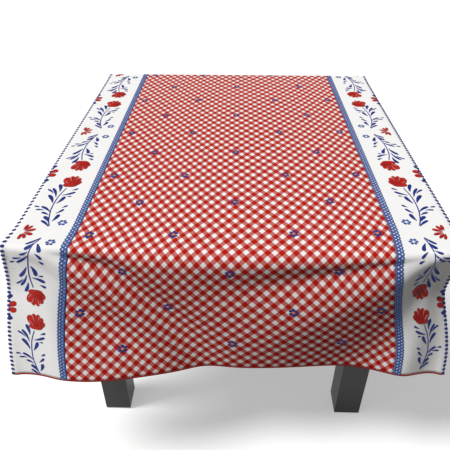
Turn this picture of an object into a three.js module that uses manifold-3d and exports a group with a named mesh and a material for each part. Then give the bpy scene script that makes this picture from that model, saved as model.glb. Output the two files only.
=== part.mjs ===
// A dining table with a draped tablecloth, in millimetres, +Z up. The origin is on the floor under
// the middle of the table. X runs across the table and Y runs along it.
import * as THREE from 'three';
import { mergeVertices } from 'three/addons/utils/BufferGeometryUtils.js';
import Module from 'manifold-3d';

const wasm = await Module();
wasm.setup();

// Table top.
const TABLE_WIDTH = 1050;
const TABLE_LENGTH = 1180;
const TABLE_HEIGHT = 750;
const TOP_THICKNESS = 28;
const TOP_CORNER_RADIUS = 12;
const TOP_BEVEL = 3;

// Legs, square in section, with a floor glide under each.
const LEG_SIZE = 80;
const LEG_SIDE_INSET = 108;
const LEG_END_INSET = 80;
const GLIDE_HEIGHT = 5;
const GLIDE_RADIUS = 15;
const GLIDE_STEM_RADIUS = 3.5;
const GLIDE_STEM_LENGTH = 14;

// Aprons and the rail across the middle.
const APRON_THICKNESS = 22;
const APRON_HEIGHT = 90;
const APRON_SETBACK = 8;
const GROOVE_DROP = 12;
const GROOVE_DEPTH = 9;
const RAIL_THICKNESS = 22;
const RAIL_HEIGHT = 60;

// Steel bracket across each inside corner, and the bolt that draws the leg in.
const BRACKET_THICKNESS = 3;
const BRACKET_HEIGHT = 60;
const BRACKET_REACH = 60;
const BRACKET_WING = 34;
const LEG_CHAMFER = 16;
const BOLT_RADIUS = 4;
const BOLT_IN_LEG = 44;
const BOLT_PAST_BRACKET = 22;
const WASHER_RADIUS = 9;
const WASHER_THICKNESS = 1.6;
const NUT_RADIUS = 7.5;
const NUT_HEIGHT = 6.5;

// Screws in the brackets and in the tabletop clips.
const SCREW_RADIUS = 2;
const SCREW_HEAD_RADIUS = 4.5;
const SCREW_HEAD_HEIGHT = 2.5;
const SCREW_LENGTH = 17;

// Z-shaped clips that hold the top down to the aprons.
const CLIP_THICKNESS = 2.4;
const CLIP_WIDTH = 22;
const CLIP_FOOT = 24;
const CLIP_RISER = 7;
const GROOVE_PLAY = 0.6;
const TONGUE_PLAY = 1;
const CLIP_FROM_BRACKET = 24;

// Tablecloth: a gingham panel, and on each side a lace band, a border panel and a picot edging.
const CLOTH_THICKNESS = 2;
const GINGHAM_WIDTH = 760;
const LACE_WIDTH = 20;
const PICOT_WIDTH = 8;
const SIDE_OVERHANG = 15;
const DROP_HEIGHT = 345;
const DROP_FLARE = 60;
const EDGE_CLEARANCE = 6;
const EDGE_BEND = 22;
const BINDING_HEIGHT = 7;

// Gap between pieces that touch, and play round a fastener in its hole.
const GAP = 0.3;
const HOLE_PLAY = 0.3;
const ROUND_SIDES = 16;

const TOP_UNDERSIDE = TABLE_HEIGHT - TOP_THICKNESS;
const FRAME_TOP = TOP_UNDERSIDE - GAP;
const APRON_BOTTOM = FRAME_TOP - APRON_HEIGHT;
const LEG_HALF = LEG_SIZE / 2;
const LEG_X = TABLE_WIDTH / 2 - LEG_SIDE_INSET - LEG_HALF;
const LEG_Y = TABLE_LENGTH / 2 - LEG_END_INSET - LEG_HALF;
const LEG_BOTTOM = GLIDE_HEIGHT + GAP;
// Inner face of an apron, measured outwards from the middle of the leg that it meets.
const APRON_INNER = LEG_HALF - APRON_SETBACK - APRON_THICKNESS;
const BRACKET_Z = APRON_BOTTOM + APRON_HEIGHT / 2;
const GROOVE_HEIGHT = CLIP_THICKNESS + 2 * GROOVE_PLAY;
const apronInnerFace = APRON_INNER - GAP;
// A bracket's face crosses the corner on the line x + y = -bracketLine, measured from the middle of
// the leg, and its wings end at bracketEnd along each apron.
const bracketLine = LEG_SIZE + BRACKET_REACH / 2;
const bracketEnd = bracketLine + apronInnerFace + BRACKET_WING;

const BLACK_WOOD = { color: 0x1d1a19, roughness: 0.45, metalness: 0 };
const FRAME_WOOD = { color: 0x2a2522, roughness: 0.6, metalness: 0 };
const ZINC_STEEL = { color: 0xa9adb0, roughness: 0.35, metalness: 1 };
const GLIDE_PLASTIC = { color: 0x2b2b2b, roughness: 0.5, metalness: 0 };
const GINGHAM_COTTON = { color: 0xc9473a, roughness: 0.9, metalness: 0 };
const WHITE_COTTON = { color: 0xf2f1ee, roughness: 0.9, metalness: 0 };
const BLUE_LACE = { color: 0x5a82b8, roughness: 0.85, metalness: 0 };
const BLUE_THREAD = { color: 0x2f4f9e, roughness: 0.8, metalness: 0 };
const RED_BINDING = { color: 0xb5322a, roughness: 0.85, metalness: 0 };

const SIDES = [['left', -1], ['right', 1]];
const ENDS = [['front', -1], ['back', 1]];

const table = new THREE.Group();

function addPiece(parent, name, geometry, finish) {
  const mesh = new THREE.Mesh(geometry, new THREE.MeshStandardMaterial(finish));
  mesh.name = name;
  parent.add(mesh);
  return mesh;
}

// The same shape as a solid that can be joined and cut.
function toSolid(geometry) {
  const bare = geometry.index ? geometry.toNonIndexed() : geometry.clone();
  bare.deleteAttribute('normal');
  bare.deleteAttribute('uv');
  const merged = mergeVertices(bare, 1e-4);
  return new wasm.Manifold(new wasm.Mesh({
    numProp: 3,
    vertProperties: new Float32Array(merged.attributes.position.array),
    triVerts: new Uint32Array(merged.index.array),
  }));
}

function toGeometry(solid) {
  const mesh = solid.getMesh();
  const geometry = new THREE.BufferGeometry();
  geometry.setAttribute('position', new THREE.BufferAttribute(mesh.vertProperties, 3));
  geometry.setIndex(new THREE.BufferAttribute(mesh.triVerts, 1));
  return geometry;
}

function cut(geometry, ...cutters) {
  let solid = toSolid(geometry);
  for (const cutter of cutters) {
    solid = solid.subtract(toSolid(cutter));
  }
  return toGeometry(solid);
}

function outline(points) {
  return new THREE.Shape(points.map(([x, y]) => new THREE.Vector2(x, y)));
}

function prism(points, depth) {
  return new THREE.ExtrudeGeometry(outline(points), { depth, bevelEnabled: false });
}

// A round bar along Z from `low` to `high`.
function bar(radius, low, high, sides = ROUND_SIDES) {
  const geometry = new THREE.CylinderGeometry(radius, radius, high - low, sides);
  return geometry.rotateX(Math.PI / 2).translate(0, 0, (low + high) / 2);
}

// Turns a shape built along Z so that it points along the direction given.
function pointAlong(geometry, direction) {
  const turn = new THREE.Quaternion().setFromUnitVectors(new THREE.Vector3(0, 0, 1), direction);
  return geometry.applyQuaternion(turn);
}

// A wood screw along +Z: the head lies below z = 0 and the shank above it.
function screwShape() {
  const profile = [
    [0, -SCREW_HEAD_HEIGHT],
    [SCREW_HEAD_RADIUS * 0.7, -SCREW_HEAD_HEIGHT],
    [SCREW_HEAD_RADIUS, 0],
    [SCREW_RADIUS, 0],
    [SCREW_RADIUS, SCREW_LENGTH - 4],
    [0, SCREW_LENGTH],
  ].map(([r, z]) => new THREE.Vector2(r, z));
  return new THREE.LatheGeometry(profile, ROUND_SIDES).rotateX(Math.PI / 2);
}

function screwHole() {
  return bar(SCREW_RADIUS + HOLE_PLAY, -SCREW_HEAD_HEIGHT, SCREW_LENGTH + 1);
}

// Table top ---------------------------------------------------------------------------------

const sideInnerX = LEG_X + APRON_INNER;
const endInnerY = LEG_Y + APRON_INNER;
const clipScrewInset = CLIP_RISER + CLIP_THICKNESS + CLIP_FOOT / 2;
const sideClipY = LEG_Y - bracketEnd - CLIP_FROM_BRACKET - CLIP_WIDTH / 2;

// Each clip stands at a point on an apron's inner face and reaches towards the table's middle.
const CLIPS = [
  ['left_front', -sideInnerX, -sideClipY, 0],
  ['left_back', -sideInnerX, sideClipY, 0],
  ['right_front', sideInnerX, -sideClipY, Math.PI],
  ['right_back', sideInnerX, sideClipY, Math.PI],
  ['front', 0, -endInnerY, Math.PI / 2],
  ['back', 0, endInnerY, -Math.PI / 2],
];

function clipScrewPlace([, x, y, turn]) {
  return [x + Math.cos(turn) * clipScrewInset, y + Math.sin(turn) * clipScrewInset];
}

function tableTop() {
  const halfX = TABLE_WIDTH / 2;
  const halfY = TABLE_LENGTH / 2;
  const r = TOP_CORNER_RADIUS;
  const shape = new THREE.Shape();
  shape.absarc(halfX - r, halfY - r, r, 0, Math.PI / 2);
  shape.absarc(r - halfX, halfY - r, r, Math.PI / 2, Math.PI);
  shape.absarc(r - halfX, r - halfY, r, Math.PI, Math.PI * 1.5);
  shape.absarc(halfX - r, r - halfY, r, Math.PI * 1.5, Math.PI * 2);
  const slab = new THREE.ExtrudeGeometry(shape, {
    depth: TOP_THICKNESS - 2 * TOP_BEVEL,
    curveSegments: 5,
    bevelSize: TOP_BEVEL,
    bevelThickness: TOP_BEVEL,
    bevelOffset: -TOP_BEVEL,
    bevelSegments: 2,
  }).translate(0, 0, TOP_UNDERSIDE + TOP_BEVEL);
  const holes = CLIPS.map((clip) => {
    const [x, y] = clipScrewPlace(clip);
    return screwHole().translate(x, y, TOP_UNDERSIDE - CLIP_THICKNESS - GAP);
  });
  return cut(slab, ...holes);
}

addPiece(table, 'table_top', tableTop(), BLACK_WOOD);

// Corners: leg, glide, bracket and bolt -------------------------------------------------------

// A corner is built round the middle of its leg, with the table's outside corner towards (+X, +Y).
const DIAGONAL = new THREE.Vector3(1, 1, 0).normalize();
const wingScrew = bracketEnd - BRACKET_WING / 2;
const bracketFace = -bracketLine / Math.SQRT2;
const chamferFace = -LEG_SIZE / Math.SQRT2 + LEG_CHAMFER / Math.SQRT2;

function alongBolt(geometry, start) {
  const place = DIAGONAL.clone().multiplyScalar(start);
  return pointAlong(geometry, DIAGONAL).translate(place.x, place.y, BRACKET_Z);
}

function legShape() {
  const height = FRAME_TOP - LEG_BOTTOM;
  const block = new THREE.BoxGeometry(LEG_SIZE, LEG_SIZE, height)
    .translate(0, 0, LEG_BOTTOM + height / 2);
  const chamferCut = prism([
    [-LEG_HALF - 5, -LEG_HALF - 5],
    [-LEG_HALF + LEG_CHAMFER + 5, -LEG_HALF - 5],
    [-LEG_HALF - 5, -LEG_HALF + LEG_CHAMFER + 5],
  ], APRON_HEIGHT + 10).translate(0, 0, APRON_BOTTOM);
  const boltHole = alongBolt(bar(BOLT_RADIUS + HOLE_PLAY, -10, BOLT_IN_LEG + 2), chamferFace);
  const stemHole = bar(GLIDE_STEM_RADIUS + HOLE_PLAY, 0, LEG_BOTTOM + GLIDE_STEM_LENGTH);
  return cut(block, chamferCut, boltHole, stemHole);
}

function glideShape() {
  const profile = [
    [0, 0],
    [GLIDE_RADIUS - 1, 0],
    [GLIDE_RADIUS, 1.5],
    [GLIDE_RADIUS, GLIDE_HEIGHT],
    [GLIDE_STEM_RADIUS, GLIDE_HEIGHT],
    [GLIDE_STEM_RADIUS, GLIDE_HEIGHT + GLIDE_STEM_LENGTH - 2],
    [0, GLIDE_HEIGHT + GLIDE_STEM_LENGTH],
  ].map(([r, z]) => new THREE.Vector2(r, z));
  return new THREE.LatheGeometry(profile, ROUND_SIDES).rotateX(Math.PI / 2);
}

function bracketShape() {
  const face = apronInnerFace;
  const back = face - BRACKET_THICKNESS;
  const backLine = bracketLine + BRACKET_THICKNESS * Math.SQRT2;
  const plate = prism([
    [face, -bracketEnd],
    [face, -bracketLine - face],
    [-bracketLine - face, face],
    [-bracketEnd, face],
    [-bracketEnd, back],
    [-backLine - back, back],
    [back, -backLine - back],
    [back, -bracketEnd],
  ], BRACKET_HEIGHT).translate(0, 0, BRACKET_Z - BRACKET_HEIGHT / 2);
  const boltHole = alongBolt(bar(BOLT_RADIUS + HOLE_PLAY, -10, 10), bracketFace);
  const holes = WINGS.map(([, direction, x, y]) => (
    pointAlong(screwHole(), direction).translate(x, y, BRACKET_Z)
  ));
  return cut(plate, boltHole, ...holes);
}

// The two wing screws of a bracket: name, direction into the apron, and the place of the head's
// seat on the wing.
const wingSeat = apronInnerFace - BRACKET_THICKNESS - GAP;
const WINGS = [
  ['side', new THREE.Vector3(1, 0, 0), wingSeat, -wingScrew],
  ['end', new THREE.Vector3(0, 1, 0), -wingScrew, wingSeat],
];

function nutShape() {
  const hexagon = bar(NUT_RADIUS, -NUT_HEIGHT, 0, 6);
  return cut(hexagon, bar(BOLT_RADIUS + HOLE_PLAY, -NUT_HEIGHT - 1, 1));
}

function washerShape() {
  const disc = bar(WASHER_RADIUS, -WASHER_THICKNESS, 0);
  return cut(disc, bar(BOLT_RADIUS + HOLE_PLAY, -WASHER_THICKNESS - 1, 1));
}

const washerSeat = bracketFace - BRACKET_THICKNESS - GAP;
const nutSeat = washerSeat - WASHER_THICKNESS - GAP;
const boltLow = bracketFace - BRACKET_THICKNESS - BOLT_PAST_BRACKET;
const boltHigh = chamferFace + BOLT_IN_LEG;

function addCorner(name, x, y, quarterTurns) {
  const corner = new THREE.Group();
  corner.position.set(x, y, 0);
  corner.rotation.z = quarterTurns * Math.PI / 2;
  addPiece(corner, `leg_${name}`, legShape(), BLACK_WOOD);
  addPiece(corner, `foot_glide_${name}`, glideShape(), GLIDE_PLASTIC);
  addPiece(corner, `corner_bracket_${name}`, bracketShape(), ZINC_STEEL);
  addPiece(corner, `hanger_bolt_${name}`, alongBolt(bar(BOLT_RADIUS, boltLow, boltHigh), 0), ZINC_STEEL);
  addPiece(corner, `bolt_washer_${name}`, alongBolt(washerShape(), washerSeat), ZINC_STEEL);
  addPiece(corner, `bolt_nut_${name}`, alongBolt(nutShape(), nutSeat), ZINC_STEEL);
  for (const [wing, direction, screwX, screwY] of WINGS) {
    const screw = pointAlong(screwShape(), direction).translate(screwX, screwY, BRACKET_Z);
    addPiece(corner, `bracket_screw_${wing}_${name}`, screw, ZINC_STEEL);
  }
  table.add(corner);
}

addCorner('back_right', LEG_X, LEG_Y, 0);
addCorner('back_left', -LEG_X, LEG_Y, 1);
addCorner('front_left', -LEG_X, -LEG_Y, 2);
addCorner('front_right', LEG_X, -LEG_Y, 3);

// Aprons --------------------------------------------------------------------------------------

// A length of apron along Z whose inner face, with the clip groove, looks towards -X. Its top
// lies towards +Y, and its bracket screws enter near both ends.
function apronShape(length) {
  const grooveTop = APRON_HEIGHT - GROOVE_DROP;
  const board = prism([
    [0, 0],
    [APRON_THICKNESS, 0],
    [APRON_THICKNESS, APRON_HEIGHT],
    [0, APRON_HEIGHT],
    [0, grooveTop],
    [GROOVE_DEPTH, grooveTop],
    [GROOVE_DEPTH, grooveTop - GROOVE_HEIGHT],
    [0, grooveTop - GROOVE_HEIGHT],
  ], length).translate(0, 0, -length / 2);
  const screwFromEnd = wingScrew - LEG_HALF - GAP;
  const along = new THREE.Vector3(1, 0, 0);
  const holes = [-1, 1].map((end) => (
    pointAlong(screwHole(), along)
      .translate(wingSeat - APRON_INNER, APRON_HEIGHT / 2, end * (length / 2 - screwFromEnd))
  ));
  return cut(board, ...holes);
}

function addApron(name, length, x, y, turn) {
  const apron = addPiece(table, name, apronShape(length).rotateX(Math.PI / 2), FRAME_WOOD);
  apron.position.set(x, y, APRON_BOTTOM);
  apron.rotation.z = turn;
}

const sideApronLength = 2 * (LEG_Y - LEG_HALF - GAP);
const endApronLength = 2 * (LEG_X - LEG_HALF - GAP);
addApron('side_apron_right', sideApronLength, sideInnerX, 0, 0);
addApron('side_apron_left', sideApronLength, -sideInnerX, 0, Math.PI);
addApron('end_apron_back', endApronLength, 0, endInnerY, Math.PI / 2);
addApron('end_apron_front', endApronLength, 0, -endInnerY, -Math.PI / 2);

const railLength = 2 * (sideInnerX - GAP);
const rail = new THREE.BoxGeometry(railLength, RAIL_THICKNESS, RAIL_HEIGHT)
  .translate(0, 0, FRAME_TOP - RAIL_HEIGHT / 2);
addPiece(table, 'centre_rail', rail, FRAME_WOOD);

// Tabletop clips ------------------------------------------------------------------------------

// A clip's tongue lies in the groove of the apron at x = 0, and its foot reaches along +X under
// the table top.
function clipShape() {
  const t = CLIP_THICKNESS;
  const footTop = TOP_UNDERSIDE - GAP;
  const tongueTop = FRAME_TOP - GROOVE_DROP - GROOVE_PLAY;
  const tongueTip = TONGUE_PLAY - GROOVE_DEPTH;
  const bend = CLIP_RISER;
  const profile = [
    [tongueTip, tongueTop - t],
    [bend + t, tongueTop - t],
    [bend + t, footTop - t],
    [bend + t + CLIP_FOOT, footTop - t],
    [bend + t + CLIP_FOOT, footTop],
    [bend, footTop],
    [bend, tongueTop],
    [tongueTip, tongueTop],
  ];
  const strip = prism(profile, CLIP_WIDTH).rotateX(Math.PI / 2).translate(0, CLIP_WIDTH / 2, 0);
  return cut(strip, screwHole().translate(clipScrewInset, 0, footTop - t));
}

for (const clip of CLIPS) {
  const [name, x, y, turn] = clip;
  const piece = addPiece(table, `top_clip_${name}`, clipShape(), ZINC_STEEL);
  piece.position.set(x, y, 0);
  piece.rotation.z = turn;
  const [screwX, screwY] = clipScrewPlace(clip);
  const headSeat = TOP_UNDERSIDE - 2 * GAP - CLIP_THICKNESS;
  addPiece(table, `clip_screw_${name}`, screwShape().translate(screwX, screwY, headSeat), ZINC_STEEL);
}

// Tablecloth ----------------------------------------------------------------------------------

const clothBottom = TABLE_HEIGHT + GAP;
const clothTop = clothBottom + CLOTH_THICKNESS;
const dropX = TABLE_LENGTH / 2 + EDGE_CLEARANCE;

// One end of the cloth's outer face, from the table's edge down to the hem, as [distance along the
// table, height].
const OUTER_LINE = [
  [dropX, clothTop],
  [dropX + EDGE_BEND, clothTop - EDGE_BEND],
  [dropX + EDGE_BEND + DROP_FLARE, clothTop - DROP_HEIGHT],
];

// The same line moved in by the cloth's thickness.
function innerLine() {
  const [edge, bend, hem] = OUTER_LINE;
  const slope = Math.hypot(hem[0] - bend[0], hem[1] - bend[1]);
  const across = CLOTH_THICKNESS * slope / (bend[1] - hem[1]);
  return [
    [edge[0] - CLOTH_THICKNESS * (Math.SQRT2 - 1), clothBottom],
    [bend[0] - across, bend[1]],
    [hem[0] - across, hem[1]],
  ];
}

// A strip of the draped cloth between two lines that run along the table.
function drapedStrip(fromX, toX) {
  const outer = OUTER_LINE;
  const inner = innerLine();
  const flip = ([along, height]) => [-along, height];
  const profile = [
    ...inner.slice().map(flip).reverse(),
    ...inner,
    ...outer.slice().reverse(),
    ...outer.map(flip),
  ];
  return prism(profile, toX - fromX).rotateX(Math.PI / 2).rotateZ(Math.PI / 2).translate(fromX, 0, 0);
}

function addStrip(name, fromX, toX, finish) {
  addPiece(table, name, drapedStrip(fromX, toX), finish);
}

const laceStart = GINGHAM_WIDTH / 2 + GAP;
const borderStart = laceStart + LACE_WIDTH + GAP;
const clothHalfWidth = TABLE_WIDTH / 2 + SIDE_OVERHANG;
const picotStart = clothHalfWidth - PICOT_WIDTH;
const borderWidth = picotStart - GAP - borderStart;

addStrip('gingham_panel', -GINGHAM_WIDTH / 2, GINGHAM_WIDTH / 2, GINGHAM_COTTON);
for (const [side, sign] of SIDES) {
  const place = (from, width) => (sign > 0 ? [from, from + width] : [-from - width, -from]);
  addStrip(`lace_band_${side}`, ...place(laceStart, LACE_WIDTH), BLUE_LACE);
  addStrip(`border_panel_${side}`, ...place(borderStart, borderWidth), WHITE_COTTON);
  addStrip(`picot_edging_${side}`, ...place(picotStart, PICOT_WIDTH), BLUE_THREAD);
}

// Binding along each hem, in line with the drop above it.
function bindingShape(sign) {
  const [, bend, hem] = OUTER_LINE;
  const [, , innerHem] = innerLine();
  const lean = (hem[0] - bend[0]) / (bend[1] - hem[1]);
  const below = (along, down) => [sign * (along + lean * down), hem[1] - down];
  const corners = [
    below(innerHem[0], GAP),
    below(innerHem[0], GAP + BINDING_HEIGHT),
    below(hem[0], GAP + BINDING_HEIGHT),
    below(hem[0], GAP),
  ];
  const profile = sign > 0 ? corners : corners.reverse();
  return prism(profile, 2 * clothHalfWidth)
    .rotateX(Math.PI / 2)
    .rotateZ(Math.PI / 2)
    .translate(-clothHalfWidth, 0, 0);
}

for (const [end, sign] of ENDS) {
  addPiece(table, `hem_binding_${end}`, bindingShape(sign), RED_BINDING);
}

export default table;
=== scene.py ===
import math
from collections import namedtuple

import bmesh
import bpy
import numpy as np
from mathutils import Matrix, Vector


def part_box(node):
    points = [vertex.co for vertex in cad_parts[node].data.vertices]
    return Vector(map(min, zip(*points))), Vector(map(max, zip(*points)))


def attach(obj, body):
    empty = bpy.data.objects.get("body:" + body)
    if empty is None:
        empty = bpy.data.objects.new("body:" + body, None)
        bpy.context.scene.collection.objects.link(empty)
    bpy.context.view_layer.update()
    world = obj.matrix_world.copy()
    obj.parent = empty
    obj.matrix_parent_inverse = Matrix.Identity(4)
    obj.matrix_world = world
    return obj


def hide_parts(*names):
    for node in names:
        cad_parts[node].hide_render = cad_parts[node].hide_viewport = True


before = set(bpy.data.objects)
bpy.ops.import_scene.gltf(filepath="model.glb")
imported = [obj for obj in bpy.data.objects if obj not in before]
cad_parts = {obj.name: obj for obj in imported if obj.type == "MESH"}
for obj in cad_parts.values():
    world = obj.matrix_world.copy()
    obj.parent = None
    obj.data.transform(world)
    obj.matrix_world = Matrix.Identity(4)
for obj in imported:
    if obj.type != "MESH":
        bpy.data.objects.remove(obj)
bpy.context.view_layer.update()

# A table laid with a cloth: a gingham middle, a lace band over each seam, a white border worked with
# flowers on each side, picots along the edges and a red binding at the hems. Metres throughout. The cloth
# is worked out flat, as u across and v along it, and is then laid over the table by the class Lie.

MM = 0.001

# ---- sizes that the frame gives -------------------------------------------------------------------------
TOP_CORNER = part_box("table_top")[1]
TABLE_X = TOP_CORNER.x                              # half the table's width
TABLE_Y = TOP_CORNER.y                              # half its length
TOP_Z = TOP_CORNER.z
SEAM_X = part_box("gingham_panel")[1].x               # gingham's edge
CLOTH_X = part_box("picot_edging_right")[1].x         # the cloth's edge

# ---- the cloth, flat ------------------------------------------------------------------------------------
COTTON = 0.8 * MM                                   # thickness of the woven panels
LACE_THICKNESS = 0.7 * MM
HALF_LENGTH = 0.970                                 # from the middle to a hem
DROP = HALF_LENGTH - TABLE_Y                        # what hangs at each end
BINDING = 4 * MM                                    # width of the red binding
BINDING_UNDER = 0.5 * MM                            # the binding's lower fold, below the cloth
BINDING_OVER = 0.7 * MM                             # and its upper fold, above it
BINDING_IN = 0.5 * MM                               # it ends this far inside the picots' tips
LACE_LAP = 2 * MM                                   # lace over the gingham's edge
SEAM_GAP = 0.3 * MM
EDGE_IN = 1.5 * MM                                  # border's rim, inside the picots
FINE_ROW = 4 * MM                                   # mesh rows at the bend over the table's edge
COARSE_ROW = 9 * MM
FINE_FADE_IN = (-30 * MM, -5 * MM)                  # from the table's edge, where fine rows begin
FINE_FADE_OUT = (90 * MM, 130 * MM)                 # and where they end

# ---- how it lies ----------------------------------------------------------------------------------------
REST_GAP = 0.6 * MM                                 # over the table's top
RIPPLE = 0.35 * MM                                  # faint waves in the cloth on the top
RIPPLE_FADE = 30 * MM                               # they are gone this far past the edge
SIDE_CURL = math.radians(13)                        # how far the side overhang turns down
SIDE_BEND = 14 * MM
CURL_FADE = 90 * MM                                 # the curl fades out this far before a corner
CURL_START = -0.1                                   # it starts this share of the bend before the edge
SPREAD = 0.113                                      # the gingham's widening at the hem, as a share
SPREAD_FULL = 0.9                                   # the share of the drop by which it is full
SPREAD_EDGE = 20 * MM                               # it fades out over this, on each side of a seam
SWAY = -9 * MM                                      # the front bend is pulled a little to the left
SWAY_IN = (-90 * MM, 60 * MM)                       # from the edge, where the sway begins
SWAY_OUT = (120 * MM, 330 * MM)                     # and where it ends, down the drop
CORNER_PULL = 8 * MM                                # the right border is drawn in at the front corner
CORNER_FROM = -110 * MM                             # from the edge, where that begins
# The borders turn back at the near corners: -1 is the left one and 1 the right. The far end is turned round.
TURN_BACK = {-1: math.radians(13), 1: math.radians(24)}
TURN_ACROSS = (-10 * MM, 50 * MM)                   # from the seam outward, where they start to turn
TURN_DOWN = (5 * MM, 150 * MM)                      # and from the edge down
BEND_MIDDLE = 74 * MM                               # length of cloth in the soft bend, mid-table
BEND_CORNER = 17 * MM                               # and at a corner
BEND_START = -0.12                                  # where it begins, as a share of its length
MIDDLE_WIDTH = 0.7                                  # smaller makes the soft middle broader
LEAN_MIDDLE = math.radians(87)                      # the drop's slope below the horizontal
LEAN_CORNER = math.radians(73)                      # and at a corner
TUCK = math.radians(9)                              # steeper just under the table's edge, by the corners
TUCK_AT = 32 * MM
TUCK_REACH = 26 * MM
FLARE = math.radians(13)                            # the drop's foot stands out on one side
FLARE_AT = 0.27                                     # this far from the middle
FLARE_REACH = 0.15
FLARE_DOWN = (150 * MM, 320 * MM)                   # it grows between these, down the drop
FOLD_START = 50 * MM                                # folds are full this far down from the edge

# ---- the pattern ----------------------------------------------------------------------------------------
ROW_PITCH = 0.142                                   # between rows of small flowers
FIRST_ROW = -0.539                                  # a row of four, by the near edge
ROW_SLANT = 0.035                                   # the rows run a little up to the right
BORDER_ROW = {-1: -0.003, 1: 0.021}                 # the left and right border's are set on by this
DROP_PRINT = 1.3                                    # the pattern is closer along the drops, by this much
CHECK_ACROSS = 30.3 * MM                            # one repeat of the check, across the cloth
CHECK_ALONG = 42 * MM                               # and along it
CHECK_SWELL = 0.60
CHECK_SHIFT = 7.9 * MM                              # and is shifted by up to this
CHECK_MIDDLE = 0.07                                 # how far right of the middle it is widest

Fold = namedtuple("Fold", "side angle turn width height reach")
# A soft fold that runs from a corner down over the drop. side: -1 left, 1 right. angle: degrees below the
# table's edge. turn: degrees that it steepens per metre. width: degrees. height: metres per metre from the
# corner, a valley where it is negative. reach: metres at which it has faded to a third.
FRONT_FOLDS = (
    Fold(1, 15, -4, 5, -0.042, 0.48),
    Fold(1, 30, 0, 9, 0.042, 0.52),
    Fold(1, 60, -6, 12.5, -0.092, 0.62),
    Fold(1, 84, 0, 12, -0.050, 0.55),
    Fold(-1, 13, 0, 8, -0.075, 0.26),
    Fold(-1, 2, 62, 6.5, -0.056, 0.60),
    Fold(-1, 13, 55, 7, 0.022, 0.55),
    Fold(-1, 38, 10, 5, -0.024, 0.50),
    Fold(-1, 60, 10, 13, 0.048, 0.60),
)
BACK_FOLDS = (
    Fold(-1, 18, -4, 5, -0.040, 0.48),
    Fold(-1, 32, 0, 8, 0.042, 0.52),
    Fold(-1, 57, -6, 10, -0.065, 0.60),
    Fold(-1, 80, 0, 12, 0.018, 0.50),
    Fold(1, 4, 50, 5, -0.036, 0.60),
    Fold(1, 20, 40, 7, 0.028, 0.55),
    Fold(1, 45, 10, 7, -0.034, 0.55),
    Fold(1, 66, 0, 12, 0.030, 0.60),
)


def ease(x, low, high):
    """0 below low, 1 above high, and smooth between."""
    t = np.clip((x - low) / (high - low), 0, 1)
    return t * t * (3 - 2 * t)


def cloth_from_print(p):
    """Where along the cloth a place in the pattern is."""
    past = np.maximum(np.abs(p) - TABLE_Y, 0)
    return np.sign(p) * (np.minimum(np.abs(p), TABLE_Y) + past / DROP_PRINT)


def print_from_cloth(v):
    """Which place in the pattern lies there along the cloth."""
    past = np.maximum(np.abs(v) - TABLE_Y, 0)
    return np.sign(v) * (np.minimum(np.abs(v), TABLE_Y) + past * DROP_PRINT)


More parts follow.
